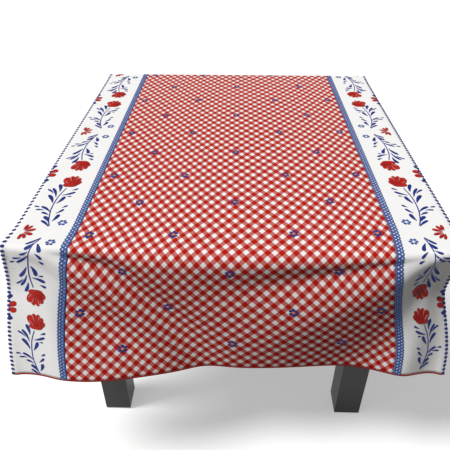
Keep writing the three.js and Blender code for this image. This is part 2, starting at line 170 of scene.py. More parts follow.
class Lie:
    """The cloth as it lies. Takes flat places, u across and v along, to points in the frame."""

    U_STEP = 4 * MM
    V_STEP = 2 * MM

    def __init__(self):
        columns = round(2 * CLOTH_X / self.U_STEP) + 1
        rows = round(2 * HALF_LENGTH / self.V_STEP) + 1
        self.u = np.linspace(-CLOTH_X, CLOTH_X, columns)
        self.v = np.linspace(-HALF_LENGTH, HALF_LENGTH, rows)
        self.points = self._lay()
        along_v, along_u = np.gradient(self.points, self.v, self.u, axis=(0, 1))
        normal = np.cross(along_u, along_v)
        self.normals = normal / np.linalg.norm(normal, axis=-1, keepdims=True)

    def _folds(self, folds, u, s):
        """How far the folds of one end stand off the plain drop."""
        height = np.zeros_like(u)
        for f in folds:
            inward = TABLE_X - f.side * u
            r = np.hypot(inward, s) + 1e-9
            bearing = np.degrees(np.arctan2(s, inward)) - f.angle - f.turn * r
            height += f.height * r * np.exp(-((bearing / f.width) ** 2) - (r / f.reach) ** 4)
        return height * ease(s, 0, FOLD_START)

    def _end(self, folds, sign, u, s):
        """One drop: how far it goes out past the table's edge and down from it, and its folds."""
        middle = np.cos(np.clip(np.abs(u) / TABLE_X, 0, 1) * math.pi / 2) ** MIDDLE_WIDTH
        bend = BEND_CORNER + (BEND_MIDDLE - BEND_CORNER) * middle
        lean = LEAN_CORNER + (LEAN_MIDDLE - LEAN_CORNER) * middle
        tuck = TUCK * (1 - middle) * np.exp(-((s - TUCK_AT) / TUCK_REACH) ** 2)
        flare = FLARE * ease(s, *FLARE_DOWN) * np.exp(-((u * sign - FLARE_AT) / FLARE_REACH) ** 2)
        slope = (lean + tuck - flare) * ease(s, BEND_START * bend, bend) * (s > 0)
        step = np.gradient(s, axis=0)
        out = np.cumsum(np.cos(slope) * step, axis=0)
        down = np.cumsum(np.sin(slope) * step, axis=0)
        out = out - out[:1]
        down = down - down[:1]
        height = self._folds(folds, u, s)
        # A border turns back from its lace outwards.
        in_border = ease(np.abs(u), SEAM_X + TURN_ACROSS[0], SEAM_X + TURN_ACROSS[1])
        turn = np.where(u * sign < 0, TURN_BACK[1], TURN_BACK[-1])
        turn = turn * in_border * ease(s, *TURN_DOWN)
        # The gingham widens toward the hem, and the borders don't.
        in_gingham = 1 - ease(np.abs(u), SEAM_X - SPREAD_EDGE, SEAM_X + SPREAD_EDGE)
        fall = ease(s, 0, SPREAD_FULL * DROP)
        width = np.cos(turn) * (1 + SPREAD * fall * in_gingham)
        half = u.shape[1] // 2
        across = np.cumsum(width, axis=1) * self.U_STEP
        back = np.cumsum(np.sin(turn) * np.sign(u), axis=1) * self.U_STEP
        x = across - across[:, half:half + 1]
        height -= back - back[:, half:half + 1]
        y = sign * (TABLE_Y + out + height * np.sin(slope))
        z = TOP_Z + REST_GAP - down + height * np.cos(slope)
        return np.stack([x, y, z], axis=-1)

    def _lay(self):
        """The whole cloth: flat with faint ripples on the top, and a drop at each end."""
        u, v = np.meshgrid(self.u, self.v)
        points = np.stack([u, v, np.full_like(u, TOP_Z + REST_GAP)], axis=-1)
        points[..., 2] += RIPPLE * (1 + np.sin(9 * u + 5 * v + 1)) * (1 + np.sin(7 * v - 6 * u)) / 2
        for sign, folds in ((-1, FRONT_FOLDS), (1, BACK_FOLDS)):
            rows = np.nonzero(sign * self.v > TABLE_Y)[0]
            if sign < 0:
                rows = rows[::-1]
            s = sign * v[rows] - TABLE_Y
            end = self._end(folds, sign, u[rows], s)
            ripple = points[rows][..., 2] - TOP_Z - REST_GAP
            end[..., 2] += ripple * (1 - ease(s, 0, RIPPLE_FADE))
            points[rows] = end
        # At the near end the bend sways to one side, and the right border is drawn in at its corner.
        past = -v - TABLE_Y
        drawn = SWAY * (1 - ease(past, *SWAY_OUT)) * ease(past, *SWAY_IN)
        corner = CORNER_PULL * ease(u, SEAM_X, CLOTH_X) * ease(past, CORNER_FROM, 0)
        points[..., 0] += drawn - corner
        self._curl_sides(u, v, points)
        return points

    def _curl_sides(self, u, v, points):
        """Turns the narrow overhang down along the table's sides."""
        past = np.maximum(np.abs(points[..., 0]) - (TABLE_X + CURL_START * SIDE_BEND), 0)
        past *= np.abs(v) < TABLE_Y
        on_top = 1 - ease(np.abs(v), TABLE_Y - CURL_FADE, TABLE_Y)
        curl = SIDE_CURL * ease(past, 0, SIDE_BEND) * on_top
        points[..., 0] -= np.sign(u) * past * (1 - np.cos(curl))
        points[..., 2] -= past * np.sin(curl)

    def at(self, u, v, h):
        """Points that are h above the cloth at u and v."""
        i = np.clip((u + CLOTH_X) / (self.u[1] - self.u[0]), 0, len(self.u) - 1.001)
        j = np.clip((v + HALF_LENGTH) / (self.v[1] - self.v[0]), 0, len(self.v) - 1.001)
        a, b = i.astype(int), j.astype(int)
        x, y = (i - a)[:, None], (j - b)[:, None]

        def between(field):
            low = field[b, a] * (1 - x) + field[b, a + 1] * x
            high = field[b + 1, a] * (1 - x) + field[b + 1, a + 1] * x
            return low * (1 - y) + high * y

        return between(self.points) + between(self.normals) * h[:, None]


LIE = Lie()


# ---- making pieces --------------------------------------------------------------------------------------
def keep_flat_places(bm):
    """Keeps each corner's place in the pattern as the piece's UV map, in metres."""
    layer = bm.loops.layers.uv.new("flat")
    for face in bm.faces:
        for loop in face.loops:
            loop[layer].uv = loop.vert.co.xy


def drape(bm):
    """Lays a flat mesh on the table. Its x is u, its y the place in the pattern, its z above the cloth."""
    keep_flat_places(bm)
    flat = np.array([vert.co for vert in bm.verts], float)
    lain = LIE.at(flat[:, 0], cloth_from_print(flat[:, 1]), flat[:, 2])
    for vert, point in zip(bm.verts, lain):
        vert.co = point


def make_piece(name, bm, material, stands_for=(), smooth=True):
    """Turns the mesh into a piece that rides on the cloth."""
    mesh = bpy.data.meshes.new(name)
    for face in bm.faces:
        face.smooth = smooth
    bm.to_mesh(mesh)
    bm.free()
    mesh.materials.append(material)
    piece = bpy.data.objects.new(name, mesh)
    bpy.context.scene.collection.objects.link(piece)
    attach(piece, "tablecloth")
    if stands_for:
        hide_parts(*stands_for)
    return piece


def thicken(piece, thickness):
    """Gives a sheet its thickness, upward from where it lies."""
    solid = piece.modifiers.new("thickness", "SOLIDIFY")
    solid.thickness = thickness
    solid.offset = 1
    solid.use_even_offset = False
    return piece


def row_places(low, high):
    """Places for the rows of a woven panel's mesh: close together where it bends."""
    v = np.linspace(low, high, 4000)
    near_bend = ease(np.abs(v), TABLE_Y + FINE_FADE_IN[0], TABLE_Y + FINE_FADE_IN[1])
    near_bend *= 1 - ease(np.abs(v), TABLE_Y + FINE_FADE_OUT[0], TABLE_Y + FINE_FADE_OUT[1])
    count = np.cumsum(1 / (COARSE_ROW + (FINE_ROW - COARSE_ROW) * near_bend))
    count *= (high - low) / len(v)
    rows = math.ceil(count[-1])
    return np.interp(np.linspace(count[0], count[-1], rows + 1), count, v)


def woven_panel(left, right, low, high, columns):
    """A flat sheet between two u and two v, as a grid with its rows where they are needed."""
    rows = row_places(low, high)
    bm = bmesh.new()
    bmesh.ops.create_grid(bm, x_segments=columns, y_segments=len(rows) - 1, size=0.5)
    for vert in bm.verts:
        vert.co.x = left + (right - left) * (vert.co.x + 0.5)
        share = (vert.co.y + 0.5) * (len(rows) - 1)
        vert.co.y = print_from_cloth(float(np.interp(share, range(len(rows)), rows)))
    return bm


# ---- finishes -------------------------------------------------------------------------------------------
def linear(red, green, blue):
    """A colour given as 0 to 255 on a screen, as light."""
    def light(c):
        c /= 255
        return c / 12.92 if c <= 0.04045 else ((c + 0.055) / 1.055) ** 2.4
    return light(red), light(green), light(blue), 1.0


def shaded(colour, share):
    """The colour with its light multiplied by a share."""
    return tuple(min(1.0, c * share) for c in colour[:3]) + (1.0,)


WHITE_COTTON = linear(243, 242, 240)
DARK_RED = linear(180, 18, 8)
MIDDLE_RED = linear(197, 76, 62)
MOTIF_RED = linear(200, 28, 18)
PETAL_DARK = linear(104, 14, 12)
PETAL_PALE = linear(226, 150, 140)
LEAF_BLUE = linear(30, 52, 138)
STEM_BLUE = linear(66, 72, 152)
LACE_BLUE = linear(66, 98, 164)
SMALL_BLUE = linear(60, 90, 166)
FLOWER_BLUE = linear(36, 50, 132)
ORANGE = linear(240, 140, 48)
BINDING_RED = linear(150, 40, 36)
CHECK_SHADE = (0.1, 0.05, 0.05, 1)
COLOUR_A, COLOUR_B, COLOUR_OUT = 6, 7, 2            # a Mix node's colour sockets, by number


class Finish:
    """A material being put together, node by node."""

    def __init__(self, name, roughness, metallic=0.0, sheen=0.0, specular=0.5, coat=0.0):
        self.material = bpy.data.materials.new(name)
        self.material.use_nodes = True
        self.tree = self.material.node_tree
        self.shader = self.tree.nodes["Principled BSDF"]
        self.shader.inputs["Roughness"].default_value = roughness
        self.shader.inputs["Metallic"].default_value = metallic
        self.shader.inputs["Sheen Weight"].default_value = sheen
        self.shader.inputs["Specular IOR Level"].default_value = specular
        self.shader.inputs["Coat Weight"].default_value = coat

    def node(self, kind, **settings):
        node = self.tree.nodes.new("ShaderNode" + kind)
        for name, value in settings.items():
            setattr(node, name, value)
        return node

    def join(self, source, target):
        """Joins a socket to an input, or sets the input to a value."""
        if isinstance(source, bpy.types.NodeSocket):
            self.tree.links.new(source, target)
        else:
            target.default_value = source

    def math(self, operation, *values, clamp=False):
        node = self.node("Math", operation=operation, use_clamp=clamp)
        for value, target in zip(values, node.inputs):
            self.join(value, target)
        return node.outputs[0]

    def mix(self, share, first, second):
        node = self.node("Mix", data_type="RGBA")
        self.join(share, node.inputs["Factor"])
        self.join(first, node.inputs[COLOUR_A])
        self.join(second, node.inputs[COLOUR_B])
        return node.outputs[COLOUR_OUT]

    def flat_places(self):
        """Sockets for u and for the place along the pattern."""
        places = self.node("SeparateXYZ")
        self.join(self.node("UVMap", uv_map="flat").outputs[0], places.inputs[0])
        return places.outputs[0], places.outputs[1]

    def noise(self, scale, detail=3.0, stretch=(1, 1, 1), on_object=False):
        """A noise over the pattern's places, or over the frame's."""
        mapping = self.node("Mapping")
        mapping.inputs["Scale"].default_value = stretch
        if on_object:
            source = self.node("TexCoord").outputs["Object"]
        else:
            source = self.node("UVMap", uv_map="flat").outputs[0]
        self.join(source, mapping.inputs["Vector"])
        noise = self.node("TexNoise")
        noise.inputs["Scale"].default_value = scale
        noise.inputs["Detail"].default_value = detail
        self.join(mapping.outputs[0], noise.inputs["Vector"])
        return noise.outputs[0]

    def wave(self, phase):
        """0 to 1 and back, once for each whole number of the phase."""
        turns = self.math("MULTIPLY", phase, 2 * math.pi)
        return self.math("MULTIPLY_ADD", self.math("SINE", turns), 0.5, 0.5)

    def colour(self, source):
        self.join(source, self.shader.inputs["Base Color"])
        return self

    def bump(self, height, distance, strength=1.0):
        bump = self.node("Bump")
        bump.inputs["Distance"].default_value = distance
        bump.inputs["Strength"].default_value = strength
        self.join(height, bump.inputs["Height"])
        self.join(bump.outputs[0], self.shader.inputs["Normal"])
        return self

    def weave(self, pitch):
        """Height of a plain weave: over and under, with a little unevenness."""
        u, p = self.flat_places()
        across = self.wave(self.math("DIVIDE", u, pitch))
        along = self.wave(self.math("DIVIDE", p, pitch))
        crossed = self.math("ADD", across, along)
        return self.math("MULTIPLY_ADD", self.noise(scale=60), 0.8, crossed)


YARN_EDGE = 14.0                                    # how sharply a band of red yarn ends
CHECK_START = 40.25                                 # sets where a red band falls, and is never negative
TWILL_LINES = 9.0                                   # fine lines in a repeat, where red lies over white
TWILL_LOW, TWILL_RANGE = 0.32, 0.36                 # how much red shows between and on those lines


def gingham():
    """Woven check on the bias: white yarn, red yarn, and both where they cross."""
    finish = Finish("gingham_weave", roughness=0.9, specular=0.1)
    u, p = finish.flat_places()
    turn = 2 * math.pi / CHECK_SWELL
    swell = finish.math("SINE", finish.math("MULTIPLY_ADD", u, turn, -turn * CHECK_MIDDLE))
    across = finish.math("DIVIDE", finish.math("MULTIPLY_ADD", swell, -CHECK_SHIFT, u), CHECK_ACROSS)
    along = finish.math("DIVIDE", p, CHECK_ALONG)

    def red_yarn(phase):
        ramp = finish.math("ABSOLUTE", finish.math("SUBTRACT", finish.math("FRACT", phase), 0.5))
        return finish.math("MULTIPLY_ADD", finish.math("SUBTRACT", 0.25, ramp), YARN_EDGE, 0.5, clamp=True)

    first = finish.math("ADD", finish.math("ADD", across, along), CHECK_START)
    second = finish.math("ADD", finish.math("SUBTRACT", across, along), CHECK_START)
    warp = red_yarn(first)
    weft = red_yarn(second)
    lines = finish.wave(finish.math("MULTIPLY", first, TWILL_LINES))
    hatch = finish.math("MULTIPLY_ADD", lines, TWILL_RANGE, TWILL_LOW)
    red = finish.math("MULTIPLY", warp, hatch)
    red = finish.math("ADD", red, finish.math("MULTIPLY", weft, finish.math("SUBTRACT", 1.0, hatch)))
    ramp = finish.node("ValToRGB")
    ramp.color_ramp.elements[0].color = WHITE_COTTON
    ramp.color_ramp.elements[1].color = DARK_RED
    middle = ramp.color_ramp.elements.new(0.5)
    middle.color = MIDDLE_RED
    finish.join(red, ramp.inputs[0])
    patches = finish.math("MULTIPLY", finish.noise(scale=28), 0.12)
    finish.colour(finish.mix(patches, ramp.outputs[0], CHECK_SHADE))
    return finish.bump(finish.weave(1.3 * MM), distance=0.15 * MM, strength=0.5).material


def cotton(name, colour):
    """Plain woven cotton, a little darker in patches, as dyed and washed cotton is."""
    finish = Finish(name, roughness=0.88, specular=0.15)
    patches = finish.math("MULTIPLY", finish.noise(scale=35), 0.5)
    finish.colour(finish.mix(patches, colour, shaded(colour, 0.952)))
    return finish.bump(finish.weave(0.9 * MM), distance=0.12 * MM, strength=0.4).material


LACE_THREAD = 2.2 * MM                              # from one thread to the next


def lace_cotton():
    """Crochet lace: thread that goes round and round, with painted shade in the hollows between the threads
    and a painted highlight on the threads.
    """
    finish = Finish("blue_lace_cotton", roughness=0.8, sheen=0.1, specular=0.3)
    u, p = finish.flat_places()
    chain = finish.wave(finish.math("DIVIDE", finish.math("ADD", u, p), LACE_THREAD))
    back = finish.wave(finish.math("DIVIDE", finish.math("SUBTRACT", u, p), LACE_THREAD))
    thread = finish.math("MAXIMUM", chain, back)
    # painted shade in the hollows (a darker copy of the blue) and a painted highlight on the threads (a
    # lighter copy)
    finish.colour(finish.mix(thread, shaded(LACE_BLUE, 0.55), shaded(LACE_BLUE, 1.12)))
    return finish.bump(thread, distance=0.4 * MM, strength=0.7).material


STITCH_PITCH = 1.1 * MM                             # from one stitch to the next
STITCH_SLANT = 0.6


def thread(name, colour):
    """Satin stitch: fine raised threads, side by side and slanting, with a silky gloss and painted shade in
    the grooves between the strands.
    """
    finish = Finish(name, roughness=0.6, specular=0.25)
    u, p = finish.flat_places()
    phase = finish.math("DIVIDE", finish.math("MULTIPLY_ADD", u, STITCH_SLANT, p), STITCH_PITCH)
    strand = finish.wave(phase)
    # painted shade: the grooves between the strands are a darker copy of the thread's colour
    finish.colour(finish.mix(strand, shaded(colour, 0.72), colour))
    return finish.bump(strand, distance=0.25 * MM, strength=0.5).material


def lacquered_wood():
    finish = Finish("black_lacquered_wood", roughness=0.42, specular=0.3, coat=0.08)
    grain = finish.noise(scale=26, detail=6.0, stretch=(6, 6, 0.5), on_object=True)
    finish.colour(finish.mix(grain, linear(14, 13, 13), linear(26, 24, 24)))
    return finish.bump(grain, distance=0.3 * MM, strength=0.25).material


def stained_wood():
    finish = Finish("dark_stained_wood", roughness=0.6)
    grain = finish.noise(scale=30, detail=6.0, stretch=(1, 1, 8), on_object=True)
    finish.colour(finish.mix(grain, linear(44, 36, 31), linear(78, 63, 52)))
    return finish.bump(grain, distance=0.4 * MM, strength=0.35).material


def zinc():
    finish = Finish("zinc_plated_steel", roughness=0.34, metallic=1.0)
    clouds = finish.noise(scale=240, detail=4.0, on_object=True)
    finish.colour(finish.mix(clouds, linear(176, 180, 184), linear(214, 216, 216)))
    return finish.bump(clouds, distance=0.1 * MM, strength=0.2).material


def glide_plastic():
    finish = Finish("glide_plastic", roughness=0.55)
    grain = finish.noise(scale=400, detail=2.0, on_object=True)
    finish.colour(finish.mix(grain, linear(28, 28, 28), linear(44, 44, 45)))
    return finish.bump(grain, distance=0.1 * MM, strength=0.3).material


# ---- the cloth's own pieces -----------------------------------------------------------------------------
SIDES = (("left", -1), ("right", 1))
PANEL_END = HALF_LENGTH - 2 * MM                    # the panels' ends, inside the binding
GINGHAM_COLUMNS, BORDER_COLUMNS, BINDING_COLUMNS = 84, 24, 150


def gingham_panel(finish):
    """The middle of the cloth. The bindings that are sewn to it are made apart, by hem_binding."""
    bm = woven_panel(-SEAM_X, SEAM_X, -PANEL_END, PANEL_END, GINGHAM_COLUMNS)
    drape(bm)
    panel = make_piece("gingham_cloth", bm, finish, ["gingham_panel"])
    thicken(panel, COTTON)


def border_panel(name, side, finish):
    """The white panel on one side, from the seam to the rim."""
    inner, outer = SEAM_X + SEAM_GAP, CLOTH_X - EDGE_IN
    left, right = (inner, outer) if side > 0 else (-outer, -inner)
    bm = woven_panel(left, right, -PANEL_END, PANEL_END, BORDER_COLUMNS)
    drape(bm)
    panel = make_piece("border_cloth_" + name, bm, finish, ["border_panel_" + name])
    thicken(panel, COTTON)


LACE_PITCH = 12 * MM
LACE_WIDTH = 19 * MM
SCALLOP = 3 * MM                                    # how far a scallop stands out
EYELET_IN = 6.4 * MM                                # inner row of eyelets, from the straight edge
EYELET_OUT = 13 * MM                                # outer row
EYELET = 2.6 * MM                                   # half an eyelet's length
EYELET_WIDTH = 0.85                                 # its width against its length
SELVEDGE = 2 * MM                                   # the lace's plain straight edge
LACE_LIFT = 0.15 * MM                               # over the cloth that it is sewn to
LACE_END = float(print_from_cloth(PANEL_END - 1 * MM))


def lace_repeat():
    """One repeat of the lace, flat: a scallop, a whole eyelet, and two half eyelets at its ends."""
    bm = bmesh.new()
    narrow = LACE_WIDTH - SCALLOP
    notch = [(EYELET_IN - math.cos(a) * EYELET * EYELET_WIDTH, math.sin(a) * EYELET)
             for a in np.radians((0, 40, 90, 140, 180))]
    lower = [(0, 0), (SELVEDGE, 0), *notch, (narrow, 0)]
    bulge = [(narrow + SCALLOP * math.sin(math.pi * t), LACE_PITCH * t)
             for t in (0.14, 0.32, 0.5, 0.68, 0.86)]
    upper = [(x, LACE_PITCH - y) for x, y in reversed(lower)]
    hole = [(EYELET_OUT + math.cos(a) * EYELET * EYELET_WIDTH, LACE_PITCH / 2 + math.sin(a) * EYELET)
            for a in np.radians(range(0, 360, 45))]
    for ring in (lower + bulge + upper, hole):
        verts = [bm.verts.new((x, y, 0)) for x, y in ring]
        for a, b in zip(verts, verts[1:] + verts[:1]):
            bm.edges.new((a, b))
    bmesh.ops.triangle_fill(bm, use_beauty=True, use_dissolve=False, edges=bm.edges)
    return bm


SAME_PLACE = 0.02 * MM                              # corners this close are joined
ON_THE_CUT = 0.001 * MM


def repeated(bm, low, high, pitch):
    """The mesh copied along y from low to high."""
    geometry = bm.verts[:] + bm.edges[:] + bm.faces[:]
    bmesh.ops.translate(bm, vec=(0, low, 0), verts=bm.verts)
    for n in range(1, math.floor((high - low) / pitch)):
        copy = bmesh.ops.duplicate(bm, geom=geometry)
        verts = [g for g in copy["geom"] if isinstance(g, bmesh.types.BMVert)]
        bmesh.ops.translate(bm, vec=(0, n * pitch, 0), verts=verts)
    bmesh.ops.remove_doubles(bm, verts=bm.verts, dist=SAME_PLACE)


def trim_at_hems(bm, ends):
    """Cuts off what of the pattern would run past a hem."""
    for sign in (-1, 1):
        geometry = bm.verts[:] + bm.edges[:] + bm.faces[:]
        bmesh.ops.bisect_plane(bm, geom=geometry, dist=ON_THE_CUT, plane_co=(0, sign * ends, 0),
                               plane_no=(0, sign, 0), clear_outer=True)


def lace_band(name, side, finish):
    """One band of lace over a seam, with open eyelets and scallops on its outer side."""
    repeats = math.ceil(2 * LACE_END / LACE_PITCH) + 1
    bm = lace_repeat()
    repeated(bm, -repeats * LACE_PITCH / 2, (repeats / 2 + 1) * LACE_PITCH, LACE_PITCH)
    trim_at_hems(bm, LACE_END)
    for vert in bm.verts:
        vert.co.x = side * (SEAM_X - LACE_LAP + vert.co.x)
        vert.co.z = COTTON + LACE_LIFT
    bmesh.ops.recalc_face_normals(bm, faces=bm.faces)
    if sum(face.normal.z for face in bm.faces) < 0:
        bmesh.ops.reverse_faces(bm, faces=bm.faces)
    area = sum(face.calc_area() for face in bm.faces)
    drape(bm)
    band = make_piece("lace_" + name, bm, finish, ["lace_band_" + name])
    thicken(band, LACE_THICKNESS)


PICOT_PITCH = 16 * MM
PICOT_SIZE = (6.0 * MM, 5.0 * MM, 1.3 * MM)         # half a knot, across, along and up
PICOT_IN = 5.4 * MM                                 # a knot's middle, from the cloth's edge
PICOT_LIFT = 1.3 * MM                               # they sit on the rim, clear of the table
PICOT_END = float(print_from_cloth(PANEL_END - 3 * MM))


def picot_edging(name, side, finish):
    """A row of small thread knots over the border's rim."""
    bm = bmesh.new()
    bmesh.ops.create_uvsphere(bm, u_segments=8, v_segments=5, radius=1)
    bmesh.ops.scale(bm, vec=PICOT_SIZE, verts=bm.verts)
    repeated(bm, -PICOT_END, PICOT_END, PICOT_PITCH)
    for vert in bm.verts:
        vert.co.x = side * (CLOTH_X - PICOT_IN + vert.co.x)
        vert.co.z += PICOT_LIFT
    drape(bm)
    bmesh.ops.recalc_face_normals(bm, faces=bm.faces)
    make_piece("picots_" + name, bm, finish, ["picot_edging_" + name])


def hem_binding(name, sign, finish):
    """A red binding folded over the hem."""
    low, high = sorted((sign * (HALF_LENGTH - BINDING), sign * HALF_LENGTH))
    bm = bmesh.new()
    bmesh.ops.create_grid(bm, x_segments=BINDING_COLUMNS, y_segments=3, size=0.5)
    for vert in bm.verts:
        vert.co.x *= 2 * (CLOTH_X - BINDING_IN)
        vert.co.y = print_from_cloth(low + (high - low) * (vert.co.y + 0.5))
        vert.co.z = -BINDING_UNDER
    drape(bm)
    piece = make_piece("binding_" + name, bm, finish, ["hem_binding_" + name])
    return thicken(piece, COTTON + BINDING_UNDER + BINDING_OVER)


# ---- needlework -----------------------------------------------------------------------------------------
Thread = namedtuple("Thread", "finish slot height")
WORK_END = float(print_from_cloth(HALF_LENGTH - BINDING - 1 * MM))     # it stops short of the binding


class Needlework:
    """Raised stitching on the cloth, gathered by thread, each patch a closed low solid."""

    RIM = 0.45 * MM                                 # width of a patch's sloping rim
    ROOT = 0.3                                      # a patch starts at this share of the cloth's thickness

    def __init__(self, threads):
        self.threads = threads
        self.meshes = {name: bmesh.new() for name in threads}

    def patch(self, name, outline, lift=0.0):
        """Fills an outline, given as u and pattern places, with stitching."""
        bm = self.meshes[name]
        height = self.threads[name].height + lift
        face = bm.faces.new([bm.verts.new((x, y, self.ROOT * COTTON)) for x, y in outline])
        raised = bmesh.ops.extrude_face_region(bm, geom=[face])["geom"]
        top = [g for g in raised if isinstance(g, bmesh.types.BMFace)]
        verts = [g for g in raised if isinstance(g, bmesh.types.BMVert)]
        bmesh.ops.translate(bm, vec=(0, 0, (1 - self.ROOT) * COTTON + height / 2), verts=verts)
        bmesh.ops.inset_region(bm, faces=top, thickness=self.RIM, use_even_offset=False)
        for vert in top[0].verts:
            vert.co.z += height / 2

    def finish(self, side_name):
        """Trims each thread's patches at the hems, closes them and lays them on the cloth."""
        for name, bm in self.meshes.items():
            bmesh.ops.triangulate(bm, faces=bm.faces)
            trim_at_hems(bm, WORK_END)
            rims = [edge for edge in bm.edges if edge.is_boundary]
            bmesh.ops.holes_fill(bm, edges=rims, sides=0)
            bmesh.ops.recalc_face_normals(bm, faces=bm.faces)
            drape(bm)
            thread_used = self.threads[name]
            make_piece(name + "_" + side_name, bm, thread_used.finish, smooth=False)


def curve_through(points, step):
    """Places along a smooth line through the points, about a step apart."""
    points = np.array(points, float)
    spaced = [points[0]]
    ends = np.vstack([2 * points[0] - points[1], points, 2 * points[-1] - points[-2]])
    for a, b, c, d in zip(ends, ends[1:], ends[2:], ends[3:]):
        count = max(1, round(float(np.linalg.norm(c - b)) / step))
        for t in np.linspace(0, 1, count + 1)[1:]:
            spaced.append(0.5 * (2 * b + (c - a) * t + (2 * a - 5 * b + 4 * c - d) * t * t
                                 + (3 * b - a - 3 * c + d) * t ** 3))
    return np.array(spaced)


def ribbon(line, widths):
    """The outline of a stroke along a line, with a width at each of its points."""
    along = np.gradient(line, axis=0)
    along /= np.linalg.norm(along, axis=1, keepdims=True)
    aside = np.stack([-along[:, 1], along[:, 0]], axis=1) * np.array(widths)[:, None] / 2
    return np.vstack([line + aside, (line - aside)[::-1]])


LEAF_SHARES = np.array([0.0, 0.25, 0.5, 0.72, 0.88, 0.97])     # places along a leaf
LEAF_WIDTHS = np.array([0.3, 0.8, 1.3, 1.45, 1.2, 0.6])        # its width at each


def brush_leaf(base, tip, width, bow=0.06):
    """A leaf like a brush stroke: narrow at the stem, full and round towards its tip."""
    base, tip = np.array(base, float), np.array(tip, float)
    length = tip - base
    aside = np.array([-length[1], length[0]])
    line = base + LEAF_SHARES[:, None] * length + (np.sin(LEAF_SHARES * math.pi) * bow)[:, None] * aside
    return ribbon(line, LEAF_WIDTHS * width)


PETAL_TIPWARD = 1.45                                # over 1 puts a petal's fullest place near its tip


def petal(base, tip, width, points=14):
    """A petal that widens from its base to a round end."""
    base, tip = np.array(base, float), np.array(tip, float)
    length = tip - base
    aside = np.array([-length[1], length[0]]) / np.linalg.norm(length)
    outline = []
    for a in np.linspace(-math.pi, math.pi, points + 1)[:-1]:
        share = 0.5 - 0.5 * math.cos(a)
        fullness = max(0.0, math.sin(share ** PETAL_TIPWARD * math.pi)) ** 0.5
        outline.append(base + share * length + math.copysign(fullness, a) * width / 2 * aside)
    return np.array(outline)


# One half repeat of the border, from a row of half flowers, its heart row, to a row of fans. Places are
# (in from the edge, along from the heart row). Leaves: base, tip, width.
STEM = ((0.076, 0.082), (0.068, 0.115), (0.065, 0.146), (0.066, 0.19), (0.075, 0.235), (0.0835, 0.258))
LEAVES = (
    ((0.0626, 0.099), (0.052, 0.0605), 0.0075), ((0.060, 0.126), (0.0387, 0.081), 0.006),
    ((0.0486, 0.109), (0.026, 0.0875), 0.0045), ((0.060, 0.155), (0.038, 0.116), 0.0075),
    ((0.066, 0.197), (0.036, 0.172), 0.006), ((0.033, 0.176), (0.018, 0.172), 0.0045),
    ((0.049, 0.190), (0.026, 0.188), 0.0045), ((0.066, 0.211), (0.045, 0.1995), 0.0055),
    ((0.076, 0.241), (0.057, 0.217), 0.0075), ((0.083, 0.262), (0.055, 0.235), 0.0055),
    ((0.094, 0.092), (0.1095, 0.082), 0.005), ((0.074, 0.118), (0.107, 0.100), 0.0065),
    ((0.0885, 0.1235), (0.101, 0.1215), 0.0036), ((0.071, 0.158), (0.084, 0.123), 0.0075),
    ((0.091, 0.177), (0.1035, 0.166), 0.005), ((0.083, 0.204), (0.099, 0.1835), 0.0055),
    ((0.084, 0.238), (0.093, 0.207), 0.0075),
)
STEM_WIDTH = 3.4 * MM
STEM_STEP = 9 * MM                                  # between the points of its outline
PLACES_IN = 2 * MM                                  # places are measured from this far inside the edge
TULIP_AT = (0.0795, 0.046)                          # the flower's middle
TULIP_SIZE = np.array((0.88, 1.08)) * MM            # one unit of the petals below, across and along
# The tulip's petals: base and tip from the flower's middle, toward the lace and away from the heart row;
# width in millimetres; and layer.
TULIP_PETALS = (
    ((6, 25), (-8, 10), 26, 0), ((3, 24), (-20, -20), 25, 1), ((7, 25), (31, -3), 18, 1),
    ((6, 24), (25, -18), 16, 2), ((0, 22), (-3, -28), 15, 2), ((4, 22), (12, -28), 14, 3),
    ((-8, 24), (25, 14), 17, 4), ((14, 23), (-20, 16), 16, 5),
)
# Pale gaps between the petals and dark lines on them: base, tip and width, as for the petals.
TULIP_SLITS = (
    ((1, 2), (-11, -25), 2.0), ((9, 0), (18, -26), 2.0), ((-4, 16), (-20, -3), 1.6),
)
TULIP_LINES = (
    ((3, 20), (-3, -20), 1.8), ((6, 20), (12, -18), 1.8), ((9, 20), (25, -8), 1.8),
    ((12, 22), (27, 8), 1.6),
)
MARK_LAYER = 6                                      # the gaps and lines lie over every petal
MARK_BOW = 0.03
PETAL_STEP = 0.13 * MM                              # each layer of petals over the last
PETAL_LINE = 1.3 * MM                               # dark stitching that shows round a petal
LINE_DROP = 0.06 * MM                               # it lies this much lower than the petal
HALF_PETAL = ((0.003, 0.003), (0.024, 0.017), 0.019)
HALF_LEAF = ((0.003, 0.027), (0.012, 0.046), 0.009)
FAN_PETALS = 6
FAN_OPEN = 80                                       # degrees that it opens to each side
FAN_BASE = 0.027                                    # its hub, in from the edge
FAN_HOLLOW = 6 * MM                                 # the petals start this far from the hub
FAN_SHORT = 23                                      # millimetres that the outer petals reach
FAN_LONGER = 9                                      # and how much further the middle one would
FAN_PETAL_WIDTH = 7.6 * MM
FAN_STRETCH = 1.3                                   # the fan is longer along the border
SMALL_PETAL = (3 * MM, 12.5 * MM, 8.4 * MM)         # from and to, out from the middle; and width
SMALL_POINTS = 10                                   # points in a small petal's outline
SMALL_FLOWER_AT = (0.112, 0.040)                    # in from the edge, and along from the fan row


